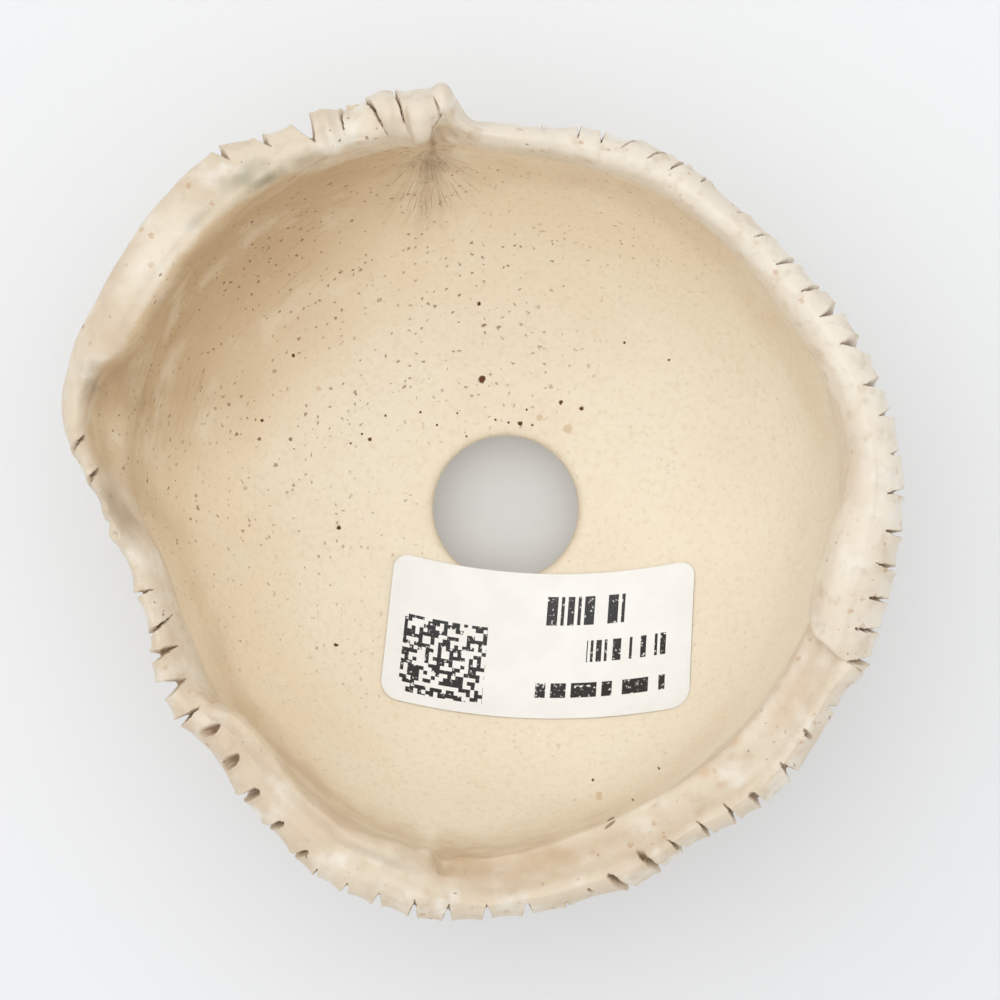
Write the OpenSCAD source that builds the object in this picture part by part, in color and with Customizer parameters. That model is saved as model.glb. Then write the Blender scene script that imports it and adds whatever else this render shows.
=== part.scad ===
// Hand-built ceramic bonsai pot: a round base slab on three feet, a bowl-shaped wall and a
// rim of torn clay strips, folded over and gathered into a knot at the back.
// The origin is the middle of the footprint on the resting plane. +Z is up, along the drain
// hole, and -Y is the front, where the paper sticker lies inside the bowl.

/* [Heights] */
// Height of the feet, up to the underside of the base slab
foot_h = 5; // [3:0.5:7]
// Height of the bowl's lowest point, where its curve would reach the drain hole's axis
floor_z = 9.5; // [8.5:0.5:12]
// Height of the level seam between the wall and the rim strips
seam_z = 44; // [38:1:50]

/* [Outline] */
// Size of the wall and rim outline, as a factor of the modelled size
outline = 1; // [0.9:0.01:1.1]
// Squareness of the bowl inside: 2 is a circle's arc, more is squarer
bowl_power = 2.3; // [2:0.1:2.8]
// Squareness of the wall outside
wall_power = 1.7; // [1.6:0.1:2.2]

/* [Base] */
// Radius of the drain hole
hole_r = 8; // [6:0.5:10]
// Rounding of the drain hole's upper edge
hole_round = 1.2; // [0.5:0.1:1.4]
// Rounding of the drain hole's lower edge
hole_ease = 0.6; // [0.3:0.1:0.8]
// Radius of the base slab
slab_r = 19; // [18:0.5:21]
// Place of the drain hole's axis, right of the middle and behind it
hole_at = [2.3, -0.5]; // [-4:0.1:4]

/* [Feet] */
// Radius of a foot where it meets the base
foot_r = 4.5; // [3.5:0.5:5]
// Distance from the drain hole's axis to a foot's middle
foot_ring = 13.6; // [13:0.1:14]

/* [Sticker] */
// Width of the paper sticker, measured flat
label_w = 33; // [20:1:34]
// Depth of the paper sticker, measured flat
label_d = 15.6; // [10:0.2:16]
// Corner radius of the paper sticker
label_round = 1.8; // [1:0.2:3]
// Thickness of the paper sticker
label_t = 0.25; // [0.2:0.05:0.4]

/* [Hidden] */

// Finest angle between two rings of the wall and the rim, in degrees
ring_step = 3;
// Rings between the base slab and the seam, on each face of the wall
wall_rows = 8;
// Radius of the wall at the seam, inside and outside, averaged over the outline
bowl_r = 36.5 * outline;
wall_r = 40 * outline;
// Curved parts' facets
fine = 96;

clay = [0.93, 0.87, 0.76];
glaze = [0.91, 0.85, 0.76];
paper = [0.97, 0.97, 0.95];

// The wall at the seam: [angle, radius inside, radius outside]
WALL = [
    [0, 36.8, 40.8], [20, 37.4, 40.8], [40, 36.6, 39.2], [65, 36.4, 39.2], [85, 36.3, 38.8],
    [97, 37.6, 40.6], [110, 38.2, 40.8], [130, 38.8, 41.6], [150, 38.4, 41.8],
    [165, 37.6, 41.6], [177, 36.8, 39.4], [190, 33.8, 36.8], [202, 33.3, 35.9],
    [216, 33.9, 37.0], [230, 33.8, 37.6], [245, 35.4, 39.6], [262, 36.3, 40.8],
    [285, 35.4, 40.0], [305, 35.2, 39.6], [320, 35.4, 40.2], [340, 35.8, 40.4],
    [360, 36.8, 40.8]
];

// The rim strips: [angle, inner radius, outer radius, height of the crest over the seam]
BACK_LEFT = [
    [106, 38.0, 43.0, 9.0], [113, 39.0, 43.4, 8.5], [120, 39.4, 43.6, 8.0],
    [127, 39.8, 45.0, 8.0], [135, 39.6, 45.4, 8.0], [147, 39.4, 44.9, 8.0],
    [155, 39.2, 45.0, 7.5], [161, 39.0, 45.1, 7.0]
];
LEFT = [
    [161, 38.8, 45.1, 7.0], [168, 38.4, 44.2, 6.5], [174, 37.8, 42.0, 6.0],
    [180, 36.8, 39.4, 5.5], [188, 33.8, 37.8, 5.0], [200, 33.0, 36.6, 5.0],
    [206, 33.2, 37.6, 5.5], [216, 33.8, 38.2, 6.0]
];
FRONT_LEFT = [
    [216, 33.8, 38.2, 6.0], [222, 33.2, 37.6, 6.5], [230, 33.4, 38.8, 6.5],
    [240, 34.8, 40.6, 6.0], [250, 35.8, 42.0, 6.0], [262, 36.3, 42.6, 5.5]
];
FRONT_RIGHT = [
    [262, 36.0, 42.6, 5.0], [275, 35.8, 42.5, 4.5], [285, 35.2, 41.8, 4.5],
    [291, 35.0, 42.0, 4.5], [302, 35.0, 41.2, 4.5], [316, 35.2, 42.4, 5.0],
    [330, 35.4, 42.0, 5.0], [340, 35.5, 42.8, 5.5]
];
RIGHT = [
    [340, 35.0, 42.8, 6.0], [346, 34.9, 42.5, 6.2], [354, 35.6, 42.6, 6.4],
    [363, 36.9, 43.1, 6.5], [371, 37.4, 42.7, 6.5], [384, 37.0, 42.3, 6.0],
    [394, 36.4, 40.9, 6.0], [405, 36.3, 40.3, 6.0], [425, 36.3, 40.5, 6.0]
];
BACK_RIGHT = [
    [65, 36.2, 40.5, 6.5], [75, 36.0, 40.0, 6.5], [85, 36.0, 39.1, 7.0],
    [91, 36.6, 39.4, 7.5], [94, 37.5, 41.5, 8.0]
];
KNOT_EAR = [[94, 37.6, 41.6, 8.5], [95.5, 38.4, 43.0, 10.5], [97, 38.4, 42.9, 10.5]];
KNOT_PAD = [[97, 37.8, 42.6, 10.5], [99, 37.4, 42.8, 11.0], [102, 37.4, 42.6, 10.5]];
KNOT_PLEAT = [[102, 37.8, 43.0, 9.5], [104, 37.8, 43.3, 10.0], [106, 37.9, 42.8, 9.0]];

// Sections of the rim, each from its inner side over the crest to its outer side, as
// [share of the strip's width, share of the crest's height]. The ends lie on the seam.
FLARE = [
    [0.0, 0.45], [0.01, 0.85], [0.12, 1.0], [0.45, 0.97], [0.8, 0.86],
    [1.0, 0.68], [0.95, 0.5], [0.66, 0.24]
];
UPRIGHT = [
    [0.08, 0.3], [0.32, 0.7], [0.6, 0.95], [0.78, 1.0], [0.93, 0.9], [1.0, 0.66], [0.92, 0.34]
];
RAISED_EDGE = [
    [0.0, 0.45], [0.0, 0.85], [0.09, 1.0], [0.32, 0.93], [0.62, 0.96],
    [0.86, 0.86], [1.0, 0.6], [0.94, 0.36]
];
DISHED = [
    [0.03, 0.25], [0.25, 0.45], [0.5, 0.72], [0.66, 0.95], [0.75, 1.0],
    [0.84, 0.92], [0.95, 0.66], [1.0, 0.42], [0.93, 0.24]
];
ROLLED = [
    [0.0, 0.32], [0.07, 0.68], [0.25, 0.92], [0.5, 1.0], [0.75, 0.92], [0.93, 0.7],
    [1.0, 0.44], [0.92, 0.24]
];

// Smooth value of a table's column at an angle, through the rows on either side of it
function slope(t, i, c) =
    let (lo = max(i - 1, 0), hi = min(i + 1, len(t) - 1))
    (t[hi][c] - t[lo][c]) / (t[hi][0] - t[lo][0]);
function at(t, a, c, i = 0) =
    i < len(t) - 2 && a > t[i + 1][0] ? at(t, a, c, i + 1) :
    let (
        h = t[i + 1][0] - t[i][0],
        u = (a - t[i][0]) / h,
        rise = t[i + 1][c] - t[i][c],
        m0 = slope(t, i, c) * h,
        m1 = slope(t, i + 1, c) * h
    )
    t[i][c] + u * m0 + u * u * (3 * rise - 2 * m0 - m1) + u * u * u * (m0 + m1 - 2 * rise);
function turn(a) = a - 360 * floor(a / 360);
function wall_in(a) = at(WALL, turn(a), 1) * outline;
function wall_out(a) = at(WALL, turn(a), 2) * outline;

// The bowl: height at a radius from the drain hole's axis, and its share of the wall's run
function bowl_z(r) =
    floor_z + (seam_z - floor_z) * (1 - pow(1 - pow(min(r / bowl_r, 1), bowl_power), 1 / bowl_power));
function share_z(s) = bowl_z(slab_r + (bowl_r - slab_r) * s);

// Rings of a swept solid: n rings of m points, its sides and its two ends
function side_faces(n, m, closed) = [
    for (i = [0:n - (closed ? 1 : 2)], j = [0:m - 1])
    let (k = (i + 1) % n, l = (j + 1) % m)
    each [[i * m + j, k * m + j, i * m + l], [k * m + j, k * m + l, i * m + l]]
];
function end_faces(n, m) = [[for (j = [0:m - 1]) j], [for (j = [m - 1:-1:0]) (n - 1) * m + j]];
function on_circle(a, r, z) = [r * cos(a), r * sin(a), z];

// Wall section at one angle: up the inner face from the base slab, then down the outer face.
// It starts as a ring round the drain hole's axis, level with the slab's own curve, and takes
// on the outline of the seam, round the origin, as its share of the run grows to 1.
function wall_point(a, share, mean_r, seam_r, z) =
    let (
        middle = hole_at * (1 - share * share),
        r = slab_r + (mean_r - slab_r) * share + (seam_r - mean_r) * share * share
    )
    [middle.x + r * cos(a), middle.y + r * sin(a), z];
function wall_ring(a) = [
    for (i = [0:wall_rows])
        let (share = sin(90 * i / wall_rows))
        wall_point(a, share, bowl_r, wall_in(a), share_z(share)),
    for (i = [wall_rows:-1:0])
        let (
            share = pow(sin(90 * i / wall_rows), 2 / wall_power),
            climb = 1 - pow(cos(90 * i / wall_rows), 2 / wall_power)
        )
        wall_point(a, share, wall_r, wall_out(a), foot_h + (seam_z - foot_h) * climb)
];

// A rim strip on the seam, from its table's first angle to its last
function strip_ring(t, section, a) =
    let (
        r0 = at(t, a, 1) * outline,
        r1 = at(t, a, 2) * outline,
        crest = at(t, a, 3),
        line = [
            [wall_in(a), 0],
            for (p = section) [r0 + (r1 - r0) * p[0], crest * p[1]],
            [wall_out(a), 0]
        ]
    )
    [for (p = line) on_circle(a, p[0], seam_z + p[1])];
module strip(t, section) {
    a0 = t[0][0];
    a1 = t[len(t) - 1][0];
    steps = max(4, ceil((a1 - a0) / ring_step));
    rings = [for (i = [0:steps]) strip_ring(t, section, a0 + (a1 - a0) * i / steps)];
    m = len(rings[0]);
    polyhedron([for (ring = rings) each ring],
        concat(side_faces(steps + 1, m, false), end_faces(steps + 1, m)), convexity = 6);
}

module floor_slab() {
    top_z = bowl_z(hole_r + hole_round);
    color(clay) translate([hole_at.x, hole_at.y, 0]) rotate_extrude($fn = fine) polygon([
        [slab_r, foot_h], [hole_r + hole_ease, foot_h], [hole_r, foot_h + hole_ease],
        for (a = [180:-15:90])
            [hole_r + hole_round * (1 + cos(a)), top_z - hole_round * (1 - sin(a))],
        for (i = [1:6])
            let (r = hole_r + hole_round + (slab_r - hole_r - hole_round) * i / 6)
            [r, bowl_z(r)]
    ]);
}

module bowl_wall() {
    n = 360 / ring_step;
    rings = [for (i = [0:n - 1]) wall_ring(i * ring_step)];
    color(clay) polyhedron([for (ring = rings) each ring],
        side_faces(n, len(rings[0]), true), convexity = 6);
}

module foot(a) {
    ease = 1.2;
    toe_r = foot_r - 0.6;
    color(clay) translate([hole_at.x + foot_ring * cos(a), hole_at.y + foot_ring * sin(a), 0])
        rotate_extrude($fn = fine) polygon([
            [0, 0],
            for (b = [-90:15:0]) [toe_r - ease + ease * cos(b), ease + ease * sin(b)],
            [foot_r, foot_h], [0, foot_h]
        ]);
}
module foot_back() { foot(90); }
module foot_left() { foot(210); }
module foot_right() { foot(330); }

module rim_back_left() { color(glaze) strip(BACK_LEFT, FLARE); }
module rim_left() { color(glaze) strip(LEFT, UPRIGHT); }
module rim_front_left() { color(glaze) strip(FRONT_LEFT, RAISED_EDGE); }
module rim_front_right() { color(glaze) strip(FRONT_RIGHT, DISHED); }
module rim_right() { color(glaze) strip(RIGHT, ROLLED); }
module rim_back_right() { color(glaze) strip(BACK_RIGHT, ROLLED); }
module knot_ear() { color(glaze) strip(KNOT_EAR, ROLLED); }
module knot_pad() { color(glaze) strip(KNOT_PAD, ROLLED); }
module knot_pleat() { color(glaze) strip(KNOT_PLEAT, ROLLED); }

// The sticker lies on the front of the bowl and just over the drain hole's edge, bent down
// its middle as the bowl bends it. Its flat shape is a rectangle with rounded corners.
label_mid = [5.9, -14.4];
label_turn = -1.5;
label_bow = 2.2;
label_lift = 0.06;
function bowl_share(p, share = 0, n = 8) =
    n == 0 ? share :
    let (
        d = p - hole_at * (1 - share * share),
        r = norm(d) - (wall_in(atan2(d.y, d.x)) - bowl_r) * share * share
    )
    bowl_share(p, max(0, min(1, (r - slab_r) / (bowl_r - slab_r))), n - 1);
function bowl_height(p) =
    let (share = bowl_share(p))
    share > 0 ? share_z(share) : bowl_z(norm(p - hole_at));
function label_point(x, y, lift) =
    let (
        bend = label_bow * (1 - pow(2 * x / label_w, 2)) - label_bow / 2,
        flat = [x, y - bend],
        p = label_mid + [
            flat.x * cos(label_turn) - flat.y * sin(label_turn),
            flat.x * sin(label_turn) + flat.y * cos(label_turn)
        ]
    )
    [p.x, p.y, bowl_height(p) + label_lift + lift];
module paper_label() {
    columns = 24;
    rows = 10;
    // Half the depth at x, less where a corner is rounded
    half = function (x)
        let (past = max(0, abs(x) - (label_w / 2 - label_round)))
        label_d / 2 - label_round + sqrt(max(0, pow(label_round, 2) - pow(past, 2)));
    rings = [
        for (i = [0:columns])
        let (
            x = label_w / 2 * sin(-90 + 180 * i / columns),
            y1 = half(x)
        )
        [
            for (j = [0:rows]) label_point(x, y1 * (1 - 2 * j / rows), label_t),
            for (j = [rows:-1:0]) label_point(x, y1 * (1 - 2 * j / rows), 0)
        ]
    ];
    m = len(rings[0]);
    color(paper) polyhedron([for (ring = rings) each ring],
        concat(side_faces(columns + 1, m, false), end_faces(columns + 1, m)), convexity = 6);
}

floor_slab();
bowl_wall();
foot_back();
foot_left();
foot_right();
rim_back_left();
rim_left();
rim_front_left();
rim_front_right();
rim_right();
rim_back_right();
knot_ear();
knot_pad();
knot_pleat();
paper_label();
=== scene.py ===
import math

import bpy
import numpy as np
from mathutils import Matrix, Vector


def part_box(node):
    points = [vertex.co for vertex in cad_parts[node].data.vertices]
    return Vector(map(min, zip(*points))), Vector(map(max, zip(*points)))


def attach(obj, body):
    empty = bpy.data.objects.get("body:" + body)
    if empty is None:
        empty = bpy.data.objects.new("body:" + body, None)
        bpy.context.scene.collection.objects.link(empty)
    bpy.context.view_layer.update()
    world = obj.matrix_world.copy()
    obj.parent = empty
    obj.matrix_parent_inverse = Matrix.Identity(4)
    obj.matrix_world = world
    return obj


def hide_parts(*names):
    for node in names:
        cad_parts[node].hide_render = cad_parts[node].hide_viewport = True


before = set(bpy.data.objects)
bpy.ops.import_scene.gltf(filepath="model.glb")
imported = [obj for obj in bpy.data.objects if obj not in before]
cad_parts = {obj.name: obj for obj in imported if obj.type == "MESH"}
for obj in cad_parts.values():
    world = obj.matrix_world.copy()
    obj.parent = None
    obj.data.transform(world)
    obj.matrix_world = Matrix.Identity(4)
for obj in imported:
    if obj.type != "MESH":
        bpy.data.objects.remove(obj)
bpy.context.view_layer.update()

MM = 0.001
FINE = 0.15          # degrees between two rows of a rim piece
WALL_EVERY = 4       # the wall has every fourth of those rows
IN_POINTS = 100      # points up the wall's inner face
RIM_POINTS = 116     # points over the rim, an even number
OUT_POINTS = 60      # points down the wall's outer face
SLAB_TURNS = 480     # rows of the revolved base slab
WALL_FEET = (3.3, 1.6)  # mm from the slab's edge in to where the wall's curves start on it
LIP_END = 9.8        # mm from the slab's edge in to where the drain hole's lip ends
SHARP = 50           # degrees between two faces that show as an edge
PAPER_T = 0.11       # mm, thickness of the sticker's paper
PAPER_LIFT = 0.10    # mm that the sticker's edge stands higher than its middle
PAPER_SKEW = 0.055   # mm that its ends lean to the side for each mm towards the back


# Smooth steps, blurs and noise ---------------------------------------------------------------

def ease(x, lo=0.0, hi=1.0):
    """0 below lo, 1 above hi, smooth between them. lo may be the larger."""
    t = np.clip((x - lo) / (hi - lo), 0, 1)
    return t * t * (3 - 2 * t)


def bump(x, width):
    return np.exp(-(x / width) ** 2)


def blur(curve, sigma):
    """Gaussian blur along a curve of points. Its ends keep their places."""
    reach = int(3 * sigma) + 1
    weights = bump(np.arange(-reach, reach + 1), sigma * math.sqrt(2))
    weights /= weights.sum()
    padded = np.pad(curve, ((reach, reach), (0, 0)), "reflect", reflect_type="odd")
    return sum(w * padded[i:i + len(curve)] for i, w in enumerate(weights))


def noise(points, size, seed):
    """Smooth noise from -1 to 1 at points in mm, with lumps about that size across."""
    side = 48
    lattice = np.random.default_rng(seed).uniform(-1, 1, (side, side, side))
    tilt = np.array([[0.80, 0.36, -0.48], [-0.60, 0.48, -0.64], [0.0, 0.80, 0.60]])
    q = points @ tilt / size + side * 8.37
    cell = np.floor(q).astype(int)
    f = q - cell
    f = f ** 3 * (f * (6 * f - 15) + 10)
    total = np.zeros(points.shape[:-1])
    for corner in np.ndindex(2, 2, 2):
        weight = np.prod(np.where(corner, f, 1 - f), axis=-1)
        i, j, k = np.moveaxis((cell + corner) % side, -1, 0)
        total += weight * lattice[i, j, k]
    return total


def turned(points, degrees):
    """Points turned about the z axis, each by its own angle."""
    c, s = np.cos(np.radians(degrees)), np.sin(np.radians(degrees))
    x, y = points[..., 0], points[..., 1]
    return np.stack([x * c - y * s, x * s + y * c, points[..., 2]], -1)


def apart(angle, other):
    """Signed difference of two angles in degrees."""
    return (angle - other + 180) % 360 - 180


# The CAD's own points ------------------------------------------------------------------------

def solid(node):
    """A CAD node's corner points in mm, each once, and the outward direction at each."""
    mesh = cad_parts[node].data
    mesh.calc_loop_triangles()
    flat = np.empty(3 * len(mesh.vertices), np.float32)
    mesh.vertices.foreach_get("co", flat)
    corners = np.empty(3 * len(mesh.loop_triangles), np.int32)
    mesh.loop_triangles.foreach_get("vertices", corners)
    at = flat.reshape(-1, 3).astype(float) / MM
    _, first, same = np.unique(np.round(at, 2), axis=0, return_index=True, return_inverse=True)
    points, tris = at[first], same.reshape(-1)[corners].reshape(-1, 3)
    face = np.cross(points[tris[:, 1]] - points[tris[:, 0]], points[tris[:, 2]] - points[tris[:, 0]])
    out = np.zeros_like(points)
    for k in range(3):
        np.add.at(out, tris[:, k], face)
    return points, out


def grouped(values, gap):
    """Indices in order of value, in groups with a gap between them."""
    order = np.argsort(values)
    return np.split(order, np.nonzero(np.diff(values[order]) > gap)[0] + 1)


def middle(node):
    lo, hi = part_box(node)
    return np.array((lo + hi) / 2) / MM


def polar(points):
    return np.degrees(np.arctan2(points[..., 1], points[..., 0]))


def level_rings(points):
    """A wall face's points: rows round the pot, each from low to high."""
    rings = []
    for group in reversed(grouped(points[:, 2], 0.05)):
        ring = points[group][np.argsort(polar(points[group]))]
        if rings:
            gaps = [np.linalg.norm(np.roll(ring, -k, 0) - rings[-1], axis=1).sum()
                    for k in range(len(ring))]
            ring = np.roll(ring, -int(np.argmin(gaps)), 0)
        else:
            ring = np.roll(ring, -int(np.argmin(abs(polar(ring)))), 0)
        rings.append(ring)
    return np.stack(rings[::-1], 1)


def strip_rings(node):
    """A rim strip's rings: their angles, and each ring's (radius, height) points from its inner
    foot on the seam, over the crest, to its outer foot."""
    points, _ = solid(node)
    mid = polar(points.mean(0))
    angle = mid + apart(polar(points), mid)
    angles, rings = [], []
    for group in grouped(angle, 0.1):
        flat = np.stack([np.hypot(*points[group, :2].T), points[group, 2]], 1)
        feet = flat[flat[:, 1] < flat[:, 1].min() + 0.05]
        centre = feet.mean(0) - [0, 0.02]
        turn = np.arctan2(flat[:, 1] - centre[1], centre[0] - flat[:, 0])
        angles.append(angle[group].mean())
        rings.append(flat[np.argsort(turn)])
    return np.array(angles), np.stack(rings)


def between(rows, where, wrap=False):
    """Rows at fractional indices, on a smooth curve through the given ones."""
    n = len(rows)
    i = np.floor(where).astype(int) if wrap else np.clip(np.floor(where).astype(int), 0, n - 2)
    f = (where - i).reshape((-1,) + (1,) * (rows.ndim - 1))

    def row(k):
        if wrap:
            return rows[(i + k) % n]
        before, after = 2 * rows[0] - rows[1], 2 * rows[-1] - rows[-2]
        whole = np.concatenate([before[None], rows, after[None]])
        return whole[i + k + 1]
    a, b, c, d = row(-1), row(0), row(1), row(2)
    return b + f / 2 * (c - a + f * (2 * a - 5 * b + 4 * c - d + f * (3 * b - 3 * c + d - a)))


def through(knots, count):
    """Smooth curves through knots (curve, knot, xyz), count steps to a span."""
    h = np.linalg.norm(np.diff(knots, axis=1), axis=2)[..., None]
    rate = np.diff(knots, axis=1) / h
    inner = (rate[:, :-1] * h[:, 1:] + rate[:, 1:] * h[:, :-1]) / (h[:, 1:] + h[:, :-1])
    slope = np.concatenate([rate[:, :1], inner, rate[:, -1:]], 1)
    spans = []
    for t in np.arange(count) / count:
        spans.append(
            (1 + 2 * t) * (1 - t) ** 2 * knots[:, :-1] + t * (1 - t) ** 2 * h * slope[:, :-1]
            + t * t * (3 - 2 * t) * knots[:, 1:] - t * t * (1 - t) * h * slope[:, 1:])
    dense = np.stack(spans, 2).reshape(len(knots), -1, 3)
    return np.concatenate([dense, knots[:, -1:]], 1)


def evenly(curves, count):
    """The same curves with count points spaced evenly along each."""
    run = np.cumsum(np.linalg.norm(np.diff(curves, axis=1), axis=2), axis=1)
    run = np.pad(run, ((0, 0), (1, 0)))
    out = np.empty((len(curves), count, 3))
    for i, (line, at) in enumerate(zip(curves, run)):
        want = np.linspace(0, at[-1], count)
        for k in range(3):
            out[i, :, k] = np.interp(want, at, line[:, k])
    return out


wall_points, wall_out = solid("bowl_wall")
slab_points, _ = solid("floor_slab")
hole = middle("floor_slab")[:2]
away = wall_points[:, :2] - hole
outside = (wall_out[:, :2] * away).sum(1) > 0
outside |= wall_points[:, 2] < wall_points[:, 2].min() + 0.05
inner_rings = level_rings(wall_points[~outside])
outer_rings = level_rings(wall_points[outside])[:, ::-1]
seam_z = wall_points[:, 2].max()
slab_mid = seam_z / 6     # a height between the base slab's underside and its top


def profile_of(points, centre):
    """Heights against distance from a vertical axis, of a revolved node's points."""
    distance = np.hypot(*(points[:, :2] - centre).T)
    return distance, points[:, 2]


slab_edge, slab_top = profile_of(slab_points, hole)
slab_r = slab_edge.max()
above = slab_top > slab_top.min() + 4
order = np.argsort(slab_edge[above])


def slab_height(distance):
    return np.interp(distance, slab_edge[above][order], slab_top[above][order])


def slab_ring(angles, distance, height):
    a = np.radians(angles)
    x, y = hole[0] + distance * np.cos(a), hole[1] + distance * np.sin(a)
    return np.stack([x, y, np.full_like(a, height)], 1)


# The rim strips in order round the pot, and how each meets the next --------------------------
#
# before: the strip that ends there. reach: degrees over which a strip gives way. bend: radius,
# and degrees by which the boundary lies past the angle where the CAD strips meet. ends: where
# the strips stay apart, rounding in mm of the end before the boundary and of the one after it.

STRIPS = ["rim_back_right", "knot_ear", "knot_pad", "knot_pleat", "rim_back_left", "rim_left",
          "rim_front_left", "rim_front_right", "rim_right"]
STRAIGHT = [(36, 0), (42, 0)]
MEETINGS = [
    dict(before="rim_right", reach=2, bend=STRAIGHT),
    dict(before="rim_back_right", reach=1.8, bend=STRAIGHT),
    dict(before="knot_ear", reach=1.5, bend=[(38.4, 1.5), (39.2, 0.3), (40.1, -0.9), (42.2, 0.4)]),
    dict(before="knot_pad", reach=1.6, bend=[(37.8, -0.7), (40.5, -0.3), (42.4, 0.3)]),
    dict(before="knot_pleat", reach=1.8, bend=[(39.4, -1.2), (41.8, 0.2)]),
    dict(before="rim_back_left", reach=10, bend=STRAIGHT),
    dict(before="rim_left", reach=5, bend=STRAIGHT),
    dict(before="rim_front_left", reach=8, bend=STRAIGHT),
    dict(before="rim_front_right", reach=8, bend=[(34.6, 3.2), (37.1, -1.9), (39.9, -3.4), (42, -4)],
         ends=(0.25, 0.7)),
]


class Strip:
    """A rim strip's fine grid of points, from the seam's inner edge over the crest."""

    def __init__(self, name):
        self.at, rings = strip_rings(name)
        first, last = (int(round(a / FINE)) for a in (self.at[0], self.at[-1]))
        self.rows = np.arange(first, last + 1) % len(FINE_ANGLES)
        self.angles = np.arange(first, last + 1) * FINE
        rings = between(rings, (self.angles - self.at[0]) / (self.at[1] - self.at[0]))
        a = np.radians(self.angles)[:, None]
        crest = np.stack([rings[..., 0] * np.cos(a), rings[..., 0] * np.sin(a), rings[..., 1]], -1)
        inner, outer = inner_fine[self.rows], outer_fine[self.rows]
        knots = np.concatenate([foot_in[self.rows], inner[:, :-1], inner[:, -1:],
                                crest[:, 1:-1], outer[:, :1], outer[:, 1:], foot_out[self.rows]], 1)
        # A dense curve up the inside, over the crest and down the outside, and where each part begins
        steps = 10
        dense = through(knots, steps)
        marks = np.cumsum([foot_in.shape[1], inner.shape[1] - 1, crest.shape[1] - 1,
                           outer.shape[1] - 1]) * steps
        self.wall_in = evenly(dense[::WALL_EVERY, marks[0]:marks[1] + 1], IN_POINTS)
        self.points = evenly(dense[:, marks[1]:marks[2] + 1], RIM_POINTS)
        self.wall_out = evenly(dense[::WALL_EVERY, marks[2]:marks[3] + 1], OUT_POINTS)


FINE_ANGLES = np.arange(round(360 / FINE)) * FINE
ring_index = FINE_ANGLES / 360 * len(inner_rings)
inner_fine = between(inner_rings, ring_index, wrap=True)
outer_fine = between(outer_rings, ring_index, wrap=True)
feet = [slab_r - in_mm for in_mm in WALL_FEET]
foot_in = np.stack([slab_ring(FINE_ANGLES, d, slab_height(d)) for d in feet], 1)
foot_out = slab_ring(FINE_ANGLES, feet[1], slab_top.min())[:, None]

strips = {name: Strip(name) for name in STRIPS}


def normals(points, wrap=False):
    """Outward directions on a grid whose rows go round the pot and whose points go up and over."""
    if wrap:
        along = np.roll(points, -1, 0) - np.roll(points, 1, 0)
    else:
        along = np.gradient(points, axis=0)
    n = np.cross(np.gradient(points, axis=1), along)
    return n / np.linalg.norm(n, axis=2, keepdims=True)


def over_seam(points, height):
    return ease(points[..., 2], seam_z, seam_z + height)


# Bend the ends of neighbouring strips to one shared boundary, and grow them together
for strip in strips.values():
    strip.out = normals(strip.points)
for meeting, name in zip(MEETINGS, STRIPS):
    a, b = strips[meeting["before"]], strips[name]
    radii, shifts = np.array(meeting["bend"]).T
    mean = (a.points[-1] + b.points[0]) / 2
    mean_out = a.out[-1] + b.out[0]
    mean_out /= np.linalg.norm(mean_out, axis=1, keepdims=True)
    r = np.hypot(mean[:, 0], mean[:, 1])
    low = 1 - over_seam(mean, 2.5)
    joined = low if "ends" in meeting else np.maximum(low, ease(r, 30, 31))
    shift = np.interp(r, radii, shifts) * over_seam(mean, 1.5)
    for strip, end, radius in zip((a, b), (-1, 0), meeting.get("ends", (0, 0))):
        reach = min(meeting["reach"], (strip.at[-1] - strip.at[0]) / 2)
        off = abs(strip.angles - strip.angles[end])
        fade = ease(off, reach, 0)[:, None]
        gap = (mean - strip.points[end]) * joined[:, None]
        gap_out = (mean_out - strip.out[end]) * joined[:, None]
        strip.points = strip.points + gap[None] * fade[..., None]
        strip.out = strip.out + gap_out[None] * fade[..., None]
        strip.points = turned(strip.points, shift[None] * fade)
        strip.out = turned(strip.out, shift[None] * fade)
        near = np.clip(1 - np.radians(off)[:, None] * 40 / max(radius, 0.01), 0, 1)
        dip = radius * (1 - np.sqrt(1 - near ** 2)) * (1 - joined)
        strip.points = strip.points - strip.out * dip[..., None]

# The wall, whole
wall_rows = FINE_ANGLES[::WALL_EVERY]
wall_in = np.empty((len(wall_rows), IN_POINTS, 3))
wall_out_face = np.empty((len(wall_rows), OUT_POINTS, 3))
for strip in strips.values():
    rows = strip.rows[::WALL_EVERY]
    wall_in[rows // WALL_EVERY] = strip.wall_in
    wall_out_face[rows // WALL_EVERY] = strip.wall_out


# Cracks and tears ----------------------------------------------------------------------------
#
# Each row: angle and radius of the crack's tip, its width and depth in mm, degrees that it turns
# for each mm outwards, mm of the outer edge that it cuts right through, where its deepest line
# lies between its sides (-1 clockwise, 1 anticlockwise), and its length in mm where it stays
# short of the outer edge. A length of 0 runs over the edge and down the outer face, and so does
# a negative one, which is as wide as it gets that many mm from its tip.

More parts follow.
